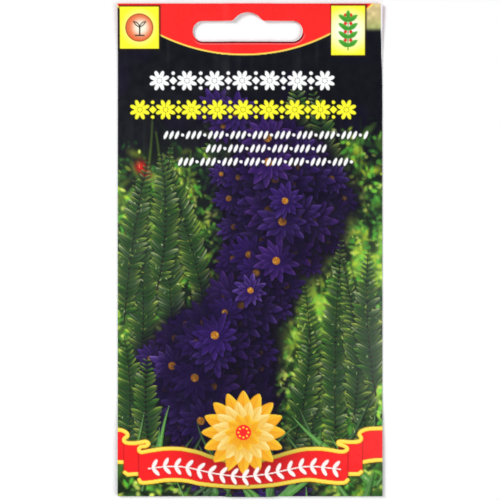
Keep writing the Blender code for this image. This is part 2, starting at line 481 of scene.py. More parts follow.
# Inks of the print
RED = rgb(252, 42, 40)
GOLD = rgb(255, 222, 70)
LEMON = rgb(255, 250, 52)
CREAM = rgb(255, 252, 190)
WHITE = rgb(255, 255, 255)
NIGHT = rgb(10, 12, 21)
VIOLET_DARK = rgb(36, 16, 76)
VIOLET = rgb(82, 50, 146)
VIOLET_LIGHT = rgb(150, 124, 206)
LEAF = rgb(84, 152, 62)
LEAF_DARK = rgb(26, 58, 30)
STEM = rgb(40, 38, 30)
PLUM = rgb(112, 44, 138)
FROND_TINTS = (
    rgb(226, 232, 96), rgb(202, 226, 84), rgb(236, 240, 170), rgb(184, 206, 96), rgb(116, 172, 56)
)
FAR_GREENS = (rgb(186, 210, 52), rgb(104, 172, 54), rgb(58, 116, 50), rgb(20, 40, 22), rgb(140, 190, 70))
BRIGHT_LEAVES = (rgb(190, 222, 62), rgb(226, 244, 104), rgb(128, 214, 66), rgb(88, 192, 56))
DARK_LEAVES = (rgb(22, 50, 24), rgb(44, 104, 40), rgb(72, 146, 52))
TWIG_LEAF = (rgb(60, 150, 44), rgb(120, 205, 80))  # its dark root and its light tip

# How many of each are scattered over the picture
PATCHES = 520
LEAVES = 3400
STEMS = 30
BLADES = 46
SPECKS = 700

# The fronds' longest leaflets, the least distance between two flowers, and the tries at placing one
FROND_REACH = 5.4
FLOWER_SPACING = 4.6
FLOWER_TRIES = 2600


def petal(ink, x, y, turn, length, width, dark, light, shine=0.5):
    """A petal or a leaf from its root at x, y, lit from the upper left."""
    part, px, py = ink.around(x, y, length + 0.6)
    along, across = turned(px - x, py - y, turn)
    share = (along / length).clip(0, 1)
    wave = 1 + 0.06 * np.sin(9 * share + 5 * turn)
    half = width / 2 * np.sin(pi * share**0.8) ** 0.62 * wave
    cover = faded(half - np.abs(across), 0.14) * (along > 0) * (along < length)
    side = across / half.clip(0.05)
    lit = copysign(1.0, cos(turn + 0.8))
    fold = np.exp(-((side / 0.16) ** 2))
    tone = 0.05 + 0.5 * share**1.3 + 0.28 * lit * side * share - 0.22 * fold
    tone = tone + 0.09 * np.sin(across * 9 + 4 * share + turn) * share
    rim = np.exp(-(((half - np.abs(across)) / 0.2) ** 2)) * (side * lit > 0.2) * share
    tone = (tone + shine * rim).clip(0, 1)[..., None]
    ink.cover(part, cover, mix(dark, light, tone))


def bloom(ink, x, y, size, petals, turn, dark, light, draw):
    """An open aster: two rings of narrow petals round a golden heart."""
    ink.blob(x + 0.6, y - 0.9, size * 0.5, VIOLET_DARK * 0.3, 0.8)
    for ring, scale in ((0, 1.0), (1, 0.72)):
        for number in range(petals):
            angle = turn + tau * (number + 0.5 * ring) / petals + draw.uniform(-0.1, 0.1)
            length = size / 2 * scale * draw.uniform(0.86, 1.1)
            middle_x, middle_y = off(x, y, angle, 0.55 * length)
            shadow = VIOLET_DARK * 0.25
            ink.oval(middle_x + 0.2, middle_y - 0.32, length, length * 0.34, angle, shadow, 0.45, edge=0.5)
            fade = draw.uniform(0.6, 1.0) * (1.0 if ring == 0 else 0.8)
            tint = mix(dark, light, fade)
            petal(ink, x, y, angle, length, length * 0.36, dark, tint, draw.uniform(0.1, 0.6))
    ink.disc(x, y, size * 0.085, rgb(176, 112, 34))
    for _ in range(9):
        angle = draw.uniform(0, tau)
        away = size * draw.uniform(0.01, 0.08)
        tint = draw.choice([rgb(236, 178, 60), rgb(140, 84, 30), rgb(250, 214, 110)])
        ink.disc(*off(x, y, angle, away), draw.uniform(0.1, 0.2), tint, 0.75)


def bent(x, y, turn, length, bend, count=7):
    """Points of a stem that starts at x, y and turns evenly as it goes."""
    points = [(x, y)]
    for step in range(count):
        angle = turn + bend * (step + 0.5) / count
        x, y = off(x, y, angle, length / count)
        points.append((x, y))
    return points


def frond(ink, x, y, turn, length, bend, draw):
    """A fern's frond: an arching stem with pairs of leaflets that shorten towards its tip."""
    joints = max(8, round(length / 1.5))
    points = bent(x, y, turn, length, bend, joints)
    ink.stroke(points, (0.5, 0.2), STEM)
    for number in range(2, joints):
        at_x, at_y = points[number]
        heading = turn + bend * number / joints
        size = FROND_REACH * sin(pi * (0.2 + 0.76 * number / joints))
        for side in (-1, 1):
            angle = heading + side * draw.uniform(0.85, 1.15)
            reach = size * draw.uniform(0.85, 1.1)
            middle_x, middle_y = off(at_x, at_y, angle, 0.5 * reach)
            ink.oval(middle_x + 0.15, middle_y - 0.3, reach, reach * 0.3, angle, NIGHT, 0.6, edge=0.5)
            petal(ink, at_x, at_y, angle, reach, reach * 0.3, LEAF_DARK, draw.choice(FROND_TINTS), 0.2)


def blade(ink, x, y, turn, length, width, bend, colour):
    """A long leaf with a pale midrib."""
    points = bent(x, y, turn, length, bend, 9)
    ink.stroke([(a + 0.25, b - 0.3) for a, b in points], (width * 1.15, 0.2), NIGHT, 0.5, edge=0.5)
    ink.stroke(points, (width, 0.12), colour)
    sheen = [(a - 0.18 * width, b + 0.14 * width) for a, b in points[:-1]]
    ink.stroke(sheen, (width * 0.4, 0.1), mix(colour, WHITE, 0.22), 0.6, edge=0.4)
    ink.stroke(points, (0.16, 0.08), mix(colour, CREAM, 0.5), 0.8)


def soft_leaf(ink, draw, x, y, lengths, widths, turns, tints, amounts, edges):
    """A soft oval whose size, turn, tint, strength and edge are drawn from these ranges."""
    size = (draw.uniform(*lengths), draw.uniform(*widths))
    turn = draw.uniform(*turns)
    tint = draw.choice(tints)
    ink.oval(x, y, *size, turn, tint, draw.uniform(*amounts), edge=draw.uniform(*edges))


def paint_garden(ink, draw):
    """The out-of-focus garden behind the flowers."""
    x = ink.x[None, :]
    y = ink.y[:, None]
    ink.cover(ink.whole, np.ones((1, 1)), NIGHT)
    streaks = ink.clouds(1.8, 40.0)
    ink.cover(ink.whole, smoothstep((streaks - 0.6) * 3.0) * 0.35, rgb(44, 50, 48))
    low = smoothstep((36.0 - y) / 30.0)
    right = smoothstep((x - 4.0) / 18.0)
    left = smoothstep((-6.0 - x) / 16.0)
    patches = ink.clouds(7.0, 8.0) * 0.6 + ink.clouds(2.6, 3.0) * 0.4
    bright = smoothstep((patches - 0.3) * 2.4)
    ink.cover(ink.whole, low * np.maximum(right, left), rgb(24, 40, 22))
    ink.cover(ink.whole, low * (right + 0.6 * left) * bright, rgb(100, 146, 52))
    ink.cover(ink.whole, low * right * smoothstep((patches - 0.5) * 5.0) * 0.8, rgb(170, 206, 62))
    for _ in range(PATCHES):
        on_right = draw.random() < 0.62
        at_x = draw.uniform(10, 41) if on_right else draw.uniform(-41, -10)
        at_y = draw.uniform(-76, 37 if on_right else 30)
        ranges = ((2.2, 6.0), (1.0, 2.4), (-0.6, 2.4), FAR_GREENS, (0.25, 0.75), (0.8, 1.6))
        soft_leaf(ink, draw, at_x, at_y, *ranges)
    clumps = ink.clouds(4.5, 5.0)
    for _ in range(LEAVES):
        at_x = draw.choice([draw.uniform(-41, -8), draw.uniform(8, 41)])
        at_y = draw.uniform(-76, 30 if at_x > 0 else 27) + draw.gauss(0, 4.5)
        row = int((at_y - ink.y[0]) / ink.step)
        column = int((at_x - ink.x[0]) / ink.step)
        lit = clumps[row, column] + draw.uniform(-0.2, 0.2) > 0.34
        tints = BRIGHT_LEAVES if lit else DARK_LEAVES
        ranges = ((0.8, 2.4), (0.6, 1.3), (0, pi), tints, (0.35, 0.9), (0.3, 0.8))
        soft_leaf(ink, draw, at_x, at_y, *ranges)
    for _ in range(STEMS):
        at_x = draw.choice([draw.uniform(-40, -14), draw.uniform(10, 40)])
        points = bent(at_x, draw.uniform(-40, 16), UP + draw.uniform(-0.4, 0.4), 26, 0.25)
        tint = draw.choice([rgb(130, 170, 54), rgb(16, 30, 18), rgb(26, 46, 24)])
        ink.stroke(points, (0.8, 0.3), tint, 0.6, edge=0.8)
    ink.blob(-33.0, 25.0, 1.8, rgb(226, 34, 34), 0.95)
    ink.blob(-31.2, 22.6, 1.2, rgb(200, 28, 30), 0.9)


def drift(x, y):
    """Where the violet flowers grow: above 0 inside a garland that swings from side to side."""
    middle = -2.0 + 13.0 * sin((y + 14.0) / 17.0)
    half = 16.5 + 2.5 * sin((y - 6) / 9.0) - 7.0 * max(0.0, (y - 22.0) / 22.0)
    return 1 - abs(x - middle) / half


def scattered(tries, spacing, place):
    """Places from many tries at drawing one, no two nearer than the spacing."""
    found = []
    for _ in range(tries):
        x, y = place()
        if all(hypot(x - a, y - b) > spacing for a, b in found):
            found.append((x, y))
    return found


# Fronds behind and before the flowers: foot x, foot y, heading, length and turn along the way
FAR_FRONDS = (
    (-22, -34, 1.70, 66, -0.20), (-33, -40, 1.50, 62, 0.20), (-38, -22, 1.50, 50, -0.15),
    (-13, -20, 1.75, 52, 0.20), (-28, -12, 1.35, 42, 0.40), (-8, 18, 1.75, 32, -0.30),
    (24, 14, 1.60, 36, 0.25), (12, 24, 1.35, 28, 0.30),
)
NEAR_FRONDS = (
    (18, -64, 1.50, 54, 0.20), (26, -62, 1.62, 66, -0.15), (35, -60, 1.62, 58, 0.15),
    (12, -62, 1.25, 40, 0.35), (31, -52, 1.40, 40, 0.40), (38, -44, 1.75, 44, -0.25),
    (-37, -60, 1.45, 34, 0.30), (-30, -62, 1.75, 30, -0.30),
)


def paint_flowers(ink, draw):
    """A garland of violet asters, fern fronds behind and before it, and the leaves at its foot."""
    for place in FAR_FRONDS:
        frond(ink, *place, draw)
    mass = scattered(FLOWER_TRIES, FLOWER_SPACING, lambda: (draw.uniform(-41, 41), draw.uniform(-78, 44)))
    mass = [place for place in mass if drift(*place) > 0]
    for x, y in mass:
        ink.blob(x, y, FLOWER_SPACING, VIOLET_DARK * 0.5, 0.9)
    for x, y in sorted(mass, key=lambda place: drift(*place) + draw.uniform(0, 0.5)):
        light = mix(VIOLET, VIOLET_LIGHT, draw.uniform(0.0, 0.9) ** 1.5)
        light = mix(light, PLUM, draw.choice([0.0, 0.0, 0.4]))
        size = draw.uniform(10.0, 14.5) * (0.72 + 0.34 * min(1.0, 2 * drift(x, y)))
        petals = draw.choice([11, 12, 13])
        bloom(ink, x, y, size, petals, draw.uniform(0, tau), VIOLET_DARK, light, draw)
    shade = smoothstep((ink.clouds(9.0, 10.0) - 0.42) * 2.6)
    violet = (ink.colour[..., 2] > ink.colour[..., 1] * 1.25) * 0.55
    ink.cover(ink.whole, shade * violet, VIOLET_DARK * 0.55)
    for place in NEAR_FRONDS:
        frond(ink, *place, draw)
    for _ in range(BLADES):
        tint = mix(LEAF_DARK, LEAF, draw.uniform(0.1, 1.0))
        x = draw.uniform(-40, 40)
        y = draw.uniform(-82, -60)
        turn = UP + draw.uniform(-1.0, 1.0)
        length = draw.uniform(8, 20)
        width = draw.uniform(1.0, 2.6)
        blade(ink, x, y, turn, length, width, draw.uniform(-0.8, 0.8), tint)
    for _ in range(SPECKS):
        x = draw.uniform(-40, 40)
        y = draw.uniform(-72, 26)
        if drift(x, y) > -0.3:
            continue
        turn = draw.uniform(0, pi)
        reach = draw.uniform(0.2, 0.9)
        tint = draw.choice([rgb(232, 240, 180), rgb(176, 206, 70), rgb(206, 226, 110)])
        ends = [(x, y), off(x, y, turn, reach)]
        ink.stroke(ends, draw.uniform(0.16, 0.34), tint, draw.uniform(0.3, 0.8))


# The header's lens is cut off below by an arc through these places
ARC_X = -1.85
ARC_LOW = 58.67
ARC_RADIUS = 57.4
ARC_LINE = 0.5


def paint_header(ink):
    """The red lens round the hanging slot, its golden lower line, the pale corner beside it, and painted
    shade along the slot's lower and right rim.
    """
    part, px, py = ink.window(30.0, 41.0, 60.0, 75.0)
    fade = smoothstep((py - 65.5) / 1.8) * smoothstep((px - 33.0) / 1.0)
    grain = ink.clouds(1.1, 1.3)[part]
    warmth = smoothstep((py - 66.0) / 6.0)[..., None]
    tint = mix(rgb(178, 186, 112), rgb(226, 204, 146), warmth)
    ink.cover(part, fade, tint * (0.86 + 0.2 * grain[..., None]))
    part, px, py = ink.window(-41.0, 41.0, 56.0, 76.0)
    away = ARC_RADIUS - np.hypot(px - ARC_X, py - ARC_LOW - ARC_RADIUS)
    ink.cover(part, (np.abs(px) < 31) * 0.55 * (1 - np.abs(away + 0.35) / 0.5).clip(0, 1), NIGHT)
    ink.cover(part, faded(away, 0.1), rgb(255, 226, 96))
    inner = away - ARC_LINE
    shade = 1 - 0.035 * smoothstep((py - 70.0) / 5.0)
    ink.cover(part, faded(inner), RED * shade[..., None])
    ink.cover(part, 0.3 * (1 - np.abs(inner - 0.1) / 0.25).clip(0, 1), rgb(214, 70, 24))
    across = px - SLOT_X
    up = py + PRINT_LIFT - SLOT_Y
    rim = slot_edge(across, up)
    # Painted shade: a dark line along the slot's lower and right rim, with a pale line beside it for the
    # paper's cut edge.
    shaded_rim_side = smoothstep((0.06 * (across + 4.0) - up - 1.2) / 2.0)
    ink.cover(part, 0.75 * shaded_rim_side * (1 - np.abs(rim - 0.74) / 0.16).clip(0, 1), rgb(255, 196, 190))
    ink.cover(part, shaded_rim_side * ((0.54 - rim) / 0.15).clip(0, 1), rgb(96, 20, 34))


# The badges in the header's two corners, as left, right, low and high
LEFT_BADGE = (-39.35, -27.5, 60.75, 73.35)
RIGHT_BADGE = (24.5, 34.7, 58.8, 73.6)


def paint_badge_ground(ink, place, middle, reach_across):
    """A yellow box that fades to its middle's colour; reach_across is how far that goes sideways."""
    left, right, low, high = place
    ink.box(left - 0.2, right + 0.5, low - 0.5, high + 0.4, rgb(40, 22, 8), 0.75, edge=0.5)
    ink.box(*place, LEMON)
    part, px, py = ink.window(left, right, low, high)
    across = (px - (left + right) / 2) / ((right - left) / 2)
    up = (py - (low + high) / 2) / ((high - low) / 2)
    ink.cover(part, (1 - np.hypot(across / reach_across, up) ** 2).clip(0, 1), middle)


def paint_round_badge(ink):
    """A peach disc with a sprout drawn in black lines."""
    paint_badge_ground(ink, LEFT_BADGE, CREAM, 1.0)
    x = (LEFT_BADGE[0] + LEFT_BADGE[1]) / 2
    y = (LEFT_BADGE[2] + LEFT_BADGE[3]) / 2
    radius = 4.2
    ink.disc(x, y, radius, rgb(150, 52, 30), edge=0.18)
    part, px, py = ink.around(x, y, 5)
    away = np.hypot(px - x - 0.4, py - y - 0.1)
    share = smoothstep((away - 1.0) / 2.9)[..., None]
    cover = faded(radius - 0.25 - np.hypot(px - x, py - y), 0.15)
    ink.cover(part, cover, mix(rgb(252, 244, 222), rgb(232, 112, 66), share))
    line = rgb(30, 26, 24)
    ink.stroke(bent(x + 0.1, y - 2.3, UP, 2.6, 0.0), 0.34, line)
    ink.stroke([(x - 1.2, y - 2.3), (x + 1.4, y - 2.3)], 0.34, line)
    for side in (-1, 1):
        outer = bent(x + 0.1, y + 0.2, UP - side * 0.15, 2.7, -side * 1.5)
        inner = bent(x + 0.1, y + 0.2, UP - side * 1.35, 2.5, side * 1.05)
        ink.stroke(outer, 0.26, line)
        ink.stroke(inner, 0.26, line)


def paint_twig_badge(ink):
    """An upright twig with pairs of leaves and red berries."""
    paint_badge_ground(ink, RIGHT_BADGE, rgb(255, 255, 250), 1.7)
    left, right, low, high = RIGHT_BADGE
    middle = (left + right) / 2
    ink.stroke([(middle, low + 1.6), (middle, high - 3.0)], (0.36, 0.2), rgb(110, 160, 56))
    for level in range(4):
        y = low + 2.6 + 2.5 * level
        for turn in (0.6, pi - 0.6):
            petal(ink, middle, y, turn, 3.5, 1.5, *TWIG_LEAF, 0.2)
        for side in (-1, 1):
            ink.disc(middle + 0.8 * side, y + 1.9, 0.5, rgb(226, 50, 40))
    petal(ink, middle, high - 3.9, pi / 2, 2.6, 1.3, *TWIG_LEAF, 0.2)


def paint_daisies(ink, left, right, y, height, colour, count):
    """A bold band of ornament: daisies with a lozenge and two dots between each two."""
    span = (right - left - height) / (count - 1)
    for dx, dy, tint, amount, soft in ((0.4, -0.4, NIGHT * 0.2, 0.9, 0.35), (0, 0, colour, 1.0, 0.1)):
        for number in range(count):
            x = left + height / 2 + span * number + dx
            for petal_number in range(8):
                turn = tau * (petal_number + 0.5) / 8
                place = off(x, y + dy, turn, 0.31 * height)
                ink.oval(*place, 0.4 * height, 0.2 * height, turn, tint, amount, soft)
            ink.disc(x, y + dy, 0.11 * height, tint, amount, soft)
            if number == count - 1:
                continue
            half = 0.2 * height
            middle_x = x + span / 2
            middle_y = y + dy
            lozenge = [(middle_x - half, middle_y), (middle_x, middle_y - half)]
            lozenge += [(middle_x + half, middle_y), (middle_x, middle_y + half)]
            ink.fill(lozenge, tint, amount, soft)
            for side in (-1, 1):
                ink.disc(middle_x, middle_y + side * 0.36 * height, 0.09 * height, tint, amount, soft)


def paint_leaf_row(ink, left, right, y, height, colour):
    """A thin band of ornament: leaning leaves, with a dot after every third leaf."""
    count = round((right - left) / (0.62 * height))
    for dx, dy, tint, amount in ((0.25, -0.25, NIGHT * 0.2, 0.9), (0, 0, colour, 1.0)):
        for number in range(count + 1):
            x = left + (right - left) * number / count + dx
            if number % 4 == 3:
                ink.disc(x, y + dy, 0.18 * height, tint, amount)
                continue
            ink.oval(x, y + dy, height, 0.36 * height, 1.15, tint, amount)


def paint_bands(ink):
    """Bands of ornament across the upper half of the front."""
    paint_daisies(ink, -30.5, 25.7, 51.1, 6.2, WHITE, 7)
    paint_daisies(ink, -36.4, 32.2, 42.3, 6.2, LEMON, 9)
    paint_leaf_row(ink, -25.4, 35.0, 34.6, 2.7, WHITE)
    paint_leaf_row(ink, -12.6, 22.4, 30.5, 2.7, WHITE)
    paint_leaf_row(ink, -21.0, 30.6, 26.5, 2.7, WHITE)


def smooth_line(points, per_run=6):
    """A smooth line through the points."""
    points = [points[0], *points, points[-1]]
    line = []
    for number in range(1, len(points) - 2):
        before, start, end, after = (np.array(points[number + k], dtype=float) for k in (-1, 0, 1, 2))
        for step in range(per_run):
            t = step / per_run
            place = 2 * start + (end - before) * t
            place = place + (2 * before - 5 * start + 4 * end - after) * t**2
            place = place + (3 * start - before - 3 * end + after) * t**3
            line.append(0.5 * place)
    line.append(np.array(points[-2], dtype=float))
    return line


# The ribbon across the foot of the front. Its golden upper edge is one line with two curls at each end
LEFT_CURLS = [
    (-42.0, -54.3), (-39.6, -54.4), (-38.4, -54.6), (-37.2, -55.3), (-36.9, -56.1), (-37.6, -56.7),
    (-38.1, -57.4), (-37.3, -58.2), (-34.5, -58.3), (-31.6, -57.8), (-30.6, -58.3), (-31.2, -59.1),
    (-32.9, -59.4), (-33.5, -60.2),
]
RIGHT_CURLS = [
    (29.3, -59.9), (28.4, -59.1), (26.8, -58.6), (26.5, -58.0), (27.3, -57.7), (29.6, -57.9),
    (32.0, -57.9), (33.2, -57.5), (33.5, -56.7), (32.9, -55.6), (33.8, -54.6), (36.3, -54.0),
    (42.0, -54.0),
]
RIBBON_TOP = [
    (-32.8, -61.0), (-29.9, -60.5), (-25.5, -59.9), (-21.4, -59.9), (-18.1, -60.4), (-15.1, -61.1),
    (-10.7, -62.6), (-2.0, -64.3), (6.6, -62.5), (11.0, -61.2), (15.1, -60.2), (18.1, -59.9),
    (21.1, -59.9), (24.2, -60.3), (27.2, -60.8), (28.7, -60.6),
]
RIBBON_BOTTOM = [
    (-33.4, -69.4), (-32.7, -70.2), (-30.0, -70.1), (-25.2, -69.4), (-21.4, -69.4), (-18.1, -69.8),
    (-15.1, -70.5), (-8.5, -71.2), (-2.2, -71.5), (6.0, -71.0), (11.0, -70.2), (15.1, -69.5),
    (18.1, -69.3), (21.1, -69.7), (24.2, -70.1), (27.2, -70.3), (28.7, -70.1), (29.4, -69.4),
]
RIBBON_LEFT = -33.6
RIBBON_RIGHT = 29.5
RIBBON_EDGE = 1.15
RIBBON_RED = rgb(253, 36, 38)
RIBBON_SHADE = rgb(120, 10, 14)


def ribbon_middle(x):
    """The height of the ribbon's middle line at a place across it."""
    return (height_on(RIBBON_TOP, x) + height_on(RIBBON_BOTTOM, x)) / 2


def golden_edge(ink, line):
    """A golden line with a darker rim and a bright upper side."""
    ink.stroke(line, RIBBON_EDGE + 0.35, rgb(196, 70, 16), 0.55, edge=0.3)
    ink.stroke(line, RIBBON_EDGE, GOLD)
    ink.stroke([(x, y + 0.2) for x, y in line], 0.3, rgb(255, 250, 140), 0.6, edge=0.4)


def paint_ribbon(ink):
    """A red ribbon with golden edges, folded back twice at each end."""
    tails = (
        [(-42, -54.3), (-38.4, -54.6), (-37.0, -55.6), (-38.1, -57.0), (-38.1, -64.0), (-42, -64.0)],
        [(42, -54.0), (34.6, -54.4), (33.0, -55.6), (33.9, -57.0), (33.9, -64.1), (42, -63.3)],
    )
    seconds = (
        [(-38.1, -57.6), (-31.0, -58.1), (-32.9, -59.5), (-33.4, -67.7), (-36.9, -67.9), (-38.1, -67.1)],
        [(33.9, -57.3), (26.8, -58.0), (29.3, -59.9), (29.4, -67.7), (32.9, -67.6), (33.9, -66.7)],
    )
    tail_feet = ([(-42, -64.0), (-38.4, -64.1)], [(34.2, -64.0), (36.3, -63.6), (42, -63.3)])
    second_feet = (
        [(-37.8, -67.2), (-36.9, -67.8), (-33.8, -67.6)],
        [(29.6, -67.6), (32.8, -67.6), (33.6, -66.9)],
    )
    wedges = (
        [(-33.2, -59.9), (-30.4, -59.3), (-30.4, -60.3), (-32.4, -60.8)],
        [(29.0, -59.8), (26.5, -59.1), (26.5, -60.3), (28.4, -60.6)],
    )
    top = smooth_line(RIBBON_TOP)
    bottom = smooth_line(RIBBON_BOTTOM)
    main = [tuple(p) for p in top] + [(RIBBON_RIGHT, -60.0), (RIBBON_RIGHT, -69.6)]
    main += [tuple(p) for p in reversed(bottom)] + [(RIBBON_LEFT, -69.6), (RIBBON_LEFT, -60.2)]
    for shape in (*tails, *seconds, main):
        ink.fill([(x + 0.1, y - 0.5) for x, y in shape], NIGHT * 0.4, 0.7, edge=1.4)
    for shape in tails:
        ink.fill(shape, RIBBON_RED * 0.98)
    for line in tail_feet:
        golden_edge(ink, line)
    for shape in seconds:
        ink.fill(shape, RIBBON_RED)
    for line in second_feet:
        golden_edge(ink, line)
    for shape in wedges:
        ink.fill(shape, RIBBON_SHADE)
    for x, low, high in ((-38.1, -66.6, -58.6), (33.9, -66.6, -57.6)):
        ink.stroke([(x, low), (x, high)], 0.25, RIBBON_SHADE, 0.35, edge=0.4)
    ink.fill(main, RIBBON_RED)
    part, px, py = ink.window(-34.0, 30.0, -72.0, -59.0)
    crest = 0.5 + 0.5 * np.cos((px + 21.4) / 40.0 * tau)
    inside = (py < height_on(top, px)) & (py > height_on(bottom, px))
    ink.cover(part, inside * 0.18 * (1 - crest), rgb(206, 22, 30))
    for x in (RIBBON_LEFT, RIBBON_RIGHT):
        ink.stroke([(x, -69.2), (x, -60.8)], 0.25, RIBBON_SHADE, 0.5, edge=0.4)
    golden_edge(ink, bottom)
    golden_edge(ink, smooth_line([*LEFT_CURLS, *RIBBON_TOP, *RIGHT_CURLS], 4))


def paint_garland(ink, left, right, count):
    """White leaf pairs on a stem that follows the ribbon."""
    pearl = rgb(255, 244, 240)
    for dx, dy, tint, amount, soft in ((0.15, -0.2, RIBBON_SHADE, 0.6, 0.3), (0, 0, pearl, 1.0, 0.12)):
        line = [(x + dx, float(ribbon_middle(x)) - 0.6 + dy) for x in np.linspace(left, right, 80)]
        ink.stroke(line, 0.42, tint, amount, soft)
        for number in range(count):
            x = left + (right - left) * (number + 0.35) / count + dx
            y = float(ribbon_middle(x)) - 0.6 + dy
            lean = atan(float(ribbon_middle(x + 0.5) - ribbon_middle(x - 0.5)))
            for side in (-1, 1):
                turn = lean + side * 0.95
                ink.oval(*off(x, y, turn, 1.5), 3.1, 1.2, turn, tint, amount, soft)


# The rosette over the ribbon's middle
ROSETTE_X = -2.0
ROSETTE_Y = -54.9
ROSETTE_RADIUS = 12.6
BUTTON_RADIUS = 2.3


def paint_rosette(ink):
    """A rosette of golden and cream petals round a red button."""
    x = ROSETTE_X
    y = ROSETTE_Y
    amber = rgb(236, 150, 24)
    ink.blob(x + 0.5, y - 0.6, ROSETTE_RADIUS * 1.06, NIGHT * 0.4, 0.6)
    ink.disc(x, y, 9.0, amber)
    # Petals, their length and width, the first one's share of a step, and their dark and light tints
    rings = (
        (16, ROSETTE_RADIUS, 5.2, 0.0, amber, GOLD),
        (16, 9.4, 4.0, 0.5, rgb(236, 176, 60), CREAM),
        (10, 5.6, 3.4, 0.0, amber, GOLD),
    )
    for petals, length, width, first, dark, light in rings:
        for number in range(petals):
            petal(ink, x, y, tau * (number + first) / petals, length, width, dark, light, 0.2)
    ink.disc(x, y, BUTTON_RADIUS, RED)
    for number in range(8):
        ink.disc(*off(x, y, tau * number / 8, 1.5), 0.3, GOLD)


def paint_wear(ink):
    """The unprinted sliver at the upper right, and the ink rubbed off along the folds."""
    part, px, py = ink.window(36.0, 41.5, 28.0, 76.0)
    border = 39.4 + 0.7 * (1 - smoothstep((py - 40.0) / 36.0))
    ink.cover(part, faded(px - border, 0.15), rgb(236, 236, 240))
    rubbed = smoothstep((ink.clouds(0.7, 2.4) * 0.6 + ink.clouds(0.4, 0.5) * 0.4 - 0.5) * 3.0)
    near_fold = np.exp(-(((np.abs(ink.x) - 39.9) / 0.12) ** 2))[None, :]
    ink.cover(ink.whole, 0.25 * near_fold * rubbed, rgb(196, 190, 198))


def paint_front():
    """The front's ink, from the garden up to the wear over all of it."""
    ink = Ink(*FRONT_PLANE, FRONT_DOT, FRONT_SEED)
    draw = random.Random(DRAW_SEED)
    paint_garden(ink, draw)
    paint_flowers(ink, draw)
    paint_bands(ink)
    paint_header(ink)
    paint_round_badge(ink)
    paint_twig_badge(ink)
    paint_ribbon(ink)
    paint_rosette(ink)
    paint_garland(ink, -30.6, 27.2, 17)
    paint_wear(ink)
    return ink


def paint_pictogram(ink, x, y, kind):
    """A coloured disc with a sun, a drop of water or a sprout in white."""
    tint = {"sun": rgb(246, 168, 40), "drop": rgb(54, 150, 214), "sprout": rgb(92, 160, 64)}[kind]
    ink.disc(x, y, 7.0, tint)
    ink.disc(x, y, 6.2, mix(tint, WHITE, 0.18))
    if kind == "sun":
        ink.disc(x, y, 2.1, WHITE)
        for number in range(8):
            ends = [off(x, y, tau * number / 8, reach) for reach in (3.0, 4.6)]
            ink.stroke(ends, 0.7, WHITE)
    elif kind == "drop":
        ink.disc(x, y - 1.2, 2.5, WHITE)
        ink.fill([(x - 2.25, y - 0.2), (x, y + 4.4), (x + 2.25, y - 0.2)], WHITE)
    else:
        ink.stroke([(x, y - 4.0), (x, y + 0.6)], 0.7, WHITE)
        for side in (-1, 1):
            ink.oval(x + side * 1.7, y + 1.7, 4.0, 1.9, side * 0.7, WHITE)


def paint_back():
    """The back: pale paper with a red head, pictograms, boxes, bands of leaves and a green foot."""
    ink = Ink(*BACK_PLANE, BACK_DOT, BACK_SEED)
    ink.colour[:] = rgb(250, 246, 230)
    ink.cover(ink.whole, 0.08 * ink.clouds(8, 8), rgb(214, 196, 150))
    ink.box(-46, 46, 52.5, 76, RED)
    ink.box(-46, 46, 51.3, 52.5, GOLD)
    for x, kind in ((-22.0, "sun"), (-1.0, "drop"), (22.0, "sprout")):
        paint_pictogram(ink, x, 38.0, kind)
    for number in range(12):
        left = -33.0 + 5.5 * number
        ink.box(left, left + 4.9, 17.0, 23.0, rgb(120, 130, 110))
        inside = rgb(150, 200, 90) if 3 <= number <= 5 else WHITE
        ink.box(left + 0.3, left + 4.6, 17.3, 22.7, inside)
    for row in range(4):
        y = 9.0 - 8.0 * row
        paint_leaf_row(ink, -33.0, 32.0 - 7.0 * (row % 2), y, 2.4, rgb(96, 120, 78))
    for left, right in ((-33.0, -7.5), (8.0, 33.0)):
        ink.box(left, right, -44.0, -28.0, rgb(150, 150, 140), corner=2.0)
        ink.box(left + 0.3, right - 0.3, -43.7, -28.3, WHITE, corner=1.8)
    ink.box(-46, 46, -76, -49.5, rgb(62, 118, 52))
    ink.box(-46, 46, -49.5, -48.5, GOLD)
    paint_daisies(ink, -34.0, 33.0, -56.0, 7.0, rgb(248, 250, 240), 7)
    return ink


def shader_of(name):
    """A new node material, its tree and its main shader."""
    made = bpy.data.materials.new(name)
    made.use_nodes = True
    tree = made.node_tree
    return made, tree, tree.nodes["Principled BSDF"]


def set_inputs(node, values):
    """Sets a node's sockets by name."""
    for name, value in values.items():
        node.inputs[name].default_value = value


def noise(tree, scale, detail=4.0):
    """Noise in the object's own space; scale is in patches a metre."""
    place = tree.nodes.new("ShaderNodeTexCoord")
    made = tree.nodes.new("ShaderNodeTexNoise")
    set_inputs(made, {"Scale": scale, "Detail": detail})
    tree.links.new(place.outputs["Object"], made.inputs["Vector"])
    return made.outputs["Fac"]


def ranged(tree, value, low, high):
    """The middle of a noise's range, spread from low to high."""
    made = tree.nodes.new("ShaderNodeMapRange")
    set_inputs(made, {"From Min": 0.3, "From Max": 0.7, "To Min": low, "To Max": high})
    tree.links.new(value, made.inputs["Value"])
    return made.outputs["Result"]


def bumped(tree, shader, height, distance, strength):
    """Roughens a shader by a height; the distance is in metres."""
    made = tree.nodes.new("ShaderNodeBump")
    set_inputs(made, {"Distance": distance, "Strength": strength})
    tree.links.new(height, made.inputs["Height"])
    tree.links.new(made.outputs["Normal"], shader.inputs["Normal"])


def scaled_colour(tree, colour, share):
    """A colour times a share."""
    made = tree.nodes.new("ShaderNodeMix")
    made.data_type = "RGBA"
    made.blend_type = "MULTIPLY"
    made.inputs["Factor"].default_value = 1.0
    tree.links.new(colour, made.inputs["A"])
    tree.links.new(share, made.inputs["B"])
    return made.outputs["Result"]


